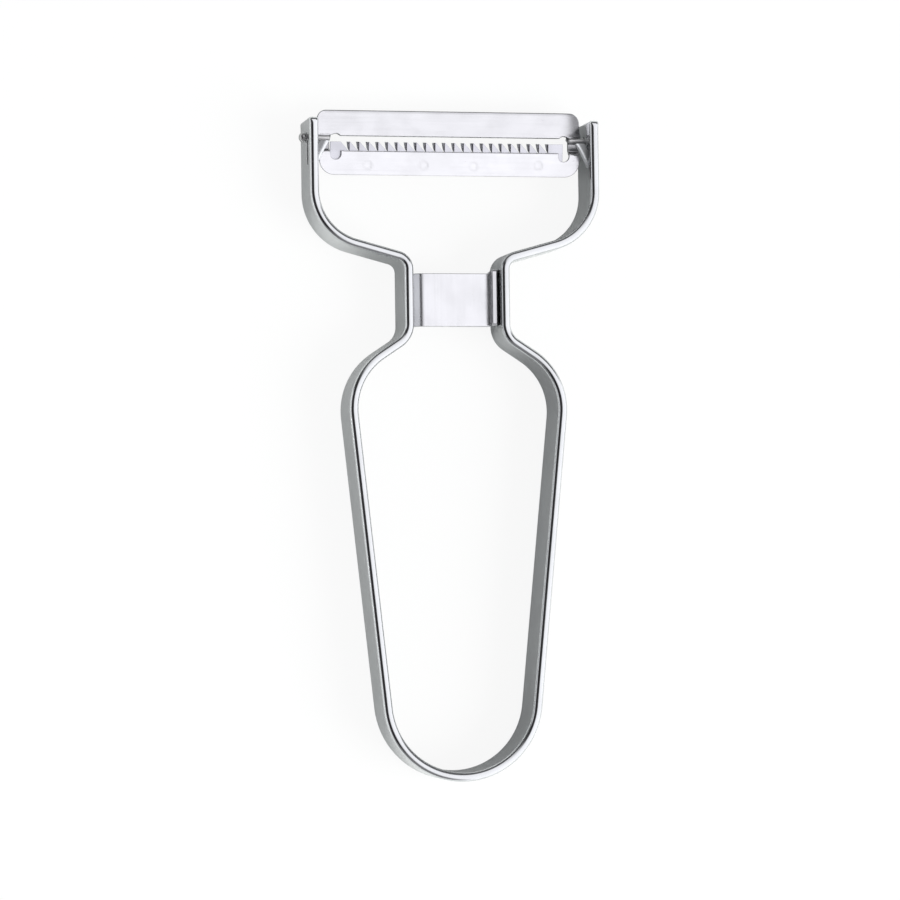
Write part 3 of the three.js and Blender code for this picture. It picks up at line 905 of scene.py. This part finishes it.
class PEELER_OT_tooth_strip(bpy.types.Operator):
    """Makes the strip of folded teeth behind the lower flange"""

    bl_idname = "peeler.tooth_strip"
    bl_label = "Tooth Strip"

    def execute(self, context):
        sizes = context.scene.peeler_teeth
        blade = context.scene.peeler_blade
        first = -(sizes.count - 1) * sizes.pitch / 2
        root = sizes.top - sizes.depth
        foot = sizes.top - sizes.height
        folds = [first + k * sizes.pitch for k in range(sizes.count)]
        left_end = TEETH_LOW.x - sizes.shift
        right_end = TEETH_HIGH.x - sizes.shift
        behind = blade.ridge - (blade.sheet + sizes.seam) / math.cos(blade.lower_lean)
        lean = Matrix.Translation(PIVOT + Vector((0, 0, behind))) @ Matrix.Rotation(blade.lower_lean, 4, "X")
        radius = sizes.fold_round
        bend_end = 0.25

        def place(u, v):
            x, z = u, 0.0
            share = (v - root) / sizes.depth
            k = bisect_left(folds, u)
            if share > 0 and k < sizes.count and u > folds[k] - sizes.slit - share * sizes.fold:
                out = folds[k] - u
                turn = min(out / radius, math.pi / 2 * smooth_step(0, bend_end, share))
                beyond = out - turn * radius
                x = folds[k] - radius * math.sin(turn) - beyond * math.cos(turn)
                z = -radius * (1 - math.cos(turn)) - beyond * math.sin(turn)
            return lean @ Vector((x, v, z))

        outline = [Vector((left_end, foot)), Vector((right_end, foot)), Vector((right_end, sizes.top))]
        for x in reversed(folds):
            outline.append(Vector((x - 0.5 * sizes.slit - sizes.fold, sizes.top)))
            outline.append(Vector((x - 0.5 * sizes.slit, root)))
            outline.append(Vector((x - 1.5 * sizes.slit, root)))
            outline.append(Vector((x - 1.5 * sizes.slit - sizes.fold, sizes.top)))
        outline.append(Vector((left_end, sizes.top)))
        step = sizes.pitch / 14
        lines_u = even_lines(left_end, first, step)[:-1]
        lines_u += [first + step * k for k in range(math.ceil((right_end - first) / step))] + [right_end]
        lines_v = even_lines(foot, sizes.top, 0.3 * MM)
        outline = cut_at_lines(outline, lines_u, lines_v)
        loops = [(outline, [sizes.edge_round] * len(outline))]
        strip = bent_sheet("teeth", loops, place, sizes.sheet, lines_u, lines_v)
        finish = context.scene.peeler_finish
        steel = metal("tooth_sheet", finish.tooth_colour, finish.tooth_roughness,
                      grain=(90.0, 2000.0, 2000.0), grain_depth=8e-6, cloud_scale=240.0, cloud_tone=0.9)
        settle(strip, steel, "blade", "tooth_sheet", "tooth_strip")
        return {"FINISHED"}


class PEELER_OT_pivot_pins(bpy.types.Operator):
    """Makes the two pivot pins"""

    bl_idname = "peeler.pivot_pins"
    bl_label = "Pivot Pins"

    def execute(self, context):
        sizes = context.scene.peeler_pins
        head = (PIN_HIGH.y - PIN_LOW.y) / 2
        tip = PIN_HIGH.x
        seat = tip - sizes.head_height
        bevel = 0.04 * head
        dome_steps, sides = 12, 40
        profile = [
            (PIN_LOW.x, 0),
            (PIN_LOW.x, sizes.radius - sizes.chamfer),
            (PIN_LOW.x + sizes.chamfer, sizes.radius),
            (seat, sizes.radius),
            (seat, head - bevel),
            (seat + bevel, head),
        ]
        dome = math.acos(sizes.head_flat / head)
        for k in range(1, dome_steps + 1):
            t = dome * k / dome_steps
            rise = (sizes.head_height - bevel) * math.sin(t) / math.sin(dome)
            profile.append((seat + bevel + rise, head * math.cos(t)))
        profile.append((tip, 0))
        finish = context.scene.peeler_finish
        steel = metal("pin_steel", finish.pin_colour, finish.pin_roughness,
                      grain=(1500.0, 1500.0, 1500.0), grain_depth=8e-6, cloud_scale=500.0, cloud_tone=0.88)
        for side, name in ((1, "right"), (-1, "left")):
            pin = turned(f"{name}_pin", profile, sides)
            turn = Matrix.Rotation(0 if side > 0 else math.pi, 4, "Z")
            pin.data.transform(Matrix.Translation(Vector((0, PIVOT.y, PIVOT.z))) @ turn)
            settle(pin, steel, "blade", "pin_steel", f"{name}_pivot_pin")
        return {"FINISHED"}


# Stage

# Place and width of the key lamp on the right and of the low lamp on the left, and the point they face
KEY_PLACE, KEY_WIDTH = Vector((0.62, -0.22, 0.55)), 0.6
FILL_PLACE, FILL_WIDTH = Vector((-0.9, 0.03, 0.16)), 0.2
LAMP_AIM = Vector((0, 0.07, 0))
# Middles of the two dark patches that bright metal shows: on the camera's left, and low past the handle
LEFT_WAY = (-0.642, -0.036, 0.766)
LOW_WAY = (-0.411, -0.807, 0.423)
SKY_TINT = (0.975, 0.972, 1.0, 1.0)
FLOOR_RADIUS = 4.0
FLOOR_GAP = 0.02 * MM


def camera_axes(look):
    """Directions to the right of, above and behind the camera"""
    back = Vector((-math.sin(look.yaw) * math.cos(look.pitch), math.sin(look.pitch),
                   math.cos(look.yaw) * math.cos(look.pitch)))
    right = Vector((math.cos(look.yaw), 0, math.sin(look.yaw)))
    up = back.cross(right)
    turn = Matrix.Rotation(look.roll, 3, back)
    return turn @ right, turn @ up, back


class PEELER_OT_stage(bpy.types.Operator):
    """Makes the floor, the lamps, the surroundings and the camera"""

    bl_idname = "peeler.stage"
    bl_label = "Stage"

    def execute(self, context):
        look = context.scene.peeler_stage
        self.add_camera(context.scene, look)
        self.add_floor(look)
        self.add_surroundings(context.scene, look)
        self.add_lamp("key", KEY_PLACE, KEY_WIDTH, look.key_power)
        self.add_lamp("fill", FILL_PLACE, FILL_WIDTH, look.fill_power)
        context.scene.view_settings.view_transform = "Standard"
        return {"FINISHED"}

    def add_camera(self, scene, look):
        right, up, back = camera_axes(look)
        aim = Vector((look.aim_x, look.aim_y, PIVOT.z))
        camera = bpy.data.cameras.new("camera")
        camera.sensor_width = 36.0
        camera.lens = camera.sensor_width * look.pixels_per_metre * look.distance / PHOTO_PIXELS
        camera.clip_start = 0.01
        camera.clip_end = 20
        holder = bpy.data.objects.new("camera", camera)
        scene.collection.objects.link(holder)
        facing = Matrix((right, up, back)).transposed().to_4x4()
        holder.matrix_world = Matrix.Translation(aim + back * look.distance) @ facing
        scene.camera = holder

    def add_floor(self, look):
        build = bmesh.new()
        bmesh.ops.create_circle(build, cap_ends=True, segments=96, radius=FLOOR_RADIUS)
        bmesh.ops.translate(build, verts=build.verts, vec=(0, 0, CAD_LOW.z - FLOOR_GAP))
        floor = smooth_object("floor", build, 30)
        material = bpy.data.materials.new("pale_floor")
        tree = Tree(material)
        mottle = tree.noise((6.0, 6.0, 6.0), detail=3.0)
        base = tree.blend(mottle, tone(look.floor_colour, 0.99), tone(look.floor_colour, 1.01))
        matt = tree.node("ShaderNodeBsdfDiffuse", {}, {"Color": base})
        white = tree.node("ShaderNodeEmission", {}, {"Color": (1, 1, 1, 1), "Strength": 1.0})
        camera = tree.node("ShaderNodeLightPath", output="Is Camera Ray")
        surface = tree.node("ShaderNodeMixShader", {}, {0: camera * look.camera_white, 1: matt, 2: white})
        tree.node("ShaderNodeOutputMaterial", {}, {"Surface": surface})
        floor.data.materials.append(material)

    def patch(self, tree, way, middle, outer, inner):
        """1 in a round patch of the surroundings, 0 outside it, and between two angles in degrees its edge"""
        nearness = tree.node("ShaderNodeVectorMath", {"operation": "DOT_PRODUCT"},
                             {0: way, 1: middle}, output="Value")
        return tree.ramp(nearness, math.cos(math.radians(outer)), math.cos(math.radians(inner)))

    def add_surroundings(self, scene, look):
        """White all round, darker on the camera's left, low past the handle and low past the blade"""
        world = bpy.data.worlds.new("studio")
        scene.world = world
        tree = Tree(world)
        way = tree.node("ShaderNodeTexCoord", output="Generated")
        across = tree.node("ShaderNodeSeparateXYZ", {}, {0: way}, output="X")
        along = tree.node("ShaderNodeSeparateXYZ", {}, {0: way}, output="Y")
        height = tree.node("ShaderNodeSeparateXYZ", {}, {0: way}, output="Z")
        dark = self.patch(tree, way, LEFT_WAY, 38, 28) * 0.96
        around = self.patch(tree, way, LEFT_WAY, 50, 32) * 0.3
        past = tree.ramp(along, 0.3, 0.44) * tree.ramp(height, 0.76, 0.64) * 0.88
        near = self.patch(tree, way, LOW_WAY, 45, 28) * 0.8
        level = look.sky_gloss + across * 0.2 - along * 0.15
        shaded = level * (1 - dark) * (1 - around) * (1 - past) * (1 - near)
        camera = tree.node("ShaderNodeLightPath", output="Is Camera Ray")
        glossy = tree.node("ShaderNodeLightPath", output="Is Glossy Ray")
        light = look.sky_diffuse + glossy * (shaded - look.sky_diffuse)
        strength = light + camera * (1 - light)
        sky = tree.node("ShaderNodeBackground", {}, {"Color": SKY_TINT, "Strength": strength})
        tree.node("ShaderNodeOutputWorld", {}, {"Surface": sky})

    def add_lamp(self, name, place, size, power):
        light = bpy.data.lights.new(name, "AREA")
        light.size = size
        light.energy = power
        lamp = bpy.data.objects.new(name, light)
        bpy.context.scene.collection.objects.link(lamp)
        lamp.location = place
        lamp.visible_camera = False
        lamp.visible_glossy = False
        lamp.rotation_mode = "QUATERNION"
        lamp.rotation_quaternion = (LAMP_AIM - place).to_track_quat("-Z", "Y")


# Panel and registration

GROUPS = (
    ("peeler_strip", StripSizes),
    ("peeler_stops", StopSizes),
    ("peeler_bridge", BridgeSizes),
    ("peeler_blade", BladeSizes),
    ("peeler_teeth", ToothSizes),
    ("peeler_pins", PinSizes),
    ("peeler_finish", FinishLook),
    ("peeler_stage", StageLook),
)

OPERATORS = (
    PEELER_OT_handle_strip,
    PEELER_OT_arm_stops,
    PEELER_OT_neck_bridge,
    PEELER_OT_blade_plate,
    PEELER_OT_tooth_strip,
    PEELER_OT_pivot_pins,
    PEELER_OT_stage,
)


class PEELER_PT_sidebar(bpy.types.Panel):
    """Lists the peeler's pieces and their sizes"""

    bl_label = "Julienne Peeler"
    bl_idname = "PEELER_PT_sidebar"
    bl_space_type = "VIEW_3D"
    bl_region_type = "UI"
    bl_category = "Peeler"

    def draw(self, context):
        for operator in OPERATORS:
            self.layout.operator(operator.bl_idname)
        for name, group in GROUPS:
            box = self.layout.box()
            box.label(text=group.__doc__)
            for field in group.__annotations__:
                box.prop(getattr(context.scene, name), field)


def register():
    for name, group in GROUPS:
        bpy.utils.register_class(group)
        setattr(bpy.types.Scene, name, bpy.props.PointerProperty(type=group))
    for operator in OPERATORS:
        bpy.utils.register_class(operator)
    bpy.utils.register_class(PEELER_PT_sidebar)


def unregister():
    bpy.utils.unregister_class(PEELER_PT_sidebar)
    for operator in reversed(OPERATORS):
        bpy.utils.unregister_class(operator)
    for name, group in reversed(GROUPS):
        delattr(bpy.types.Scene, name)
        bpy.utils.unregister_class(group)


def main():
    register()
    bpy.ops.peeler.handle_strip()
    bpy.ops.peeler.arm_stops()
    bpy.ops.peeler.neck_bridge()
    bpy.ops.peeler.blade_plate()
    bpy.ops.peeler.tooth_strip()
    bpy.ops.peeler.pivot_pins()
    bpy.ops.peeler.stage()


if __name__ == "__main__":
    main()
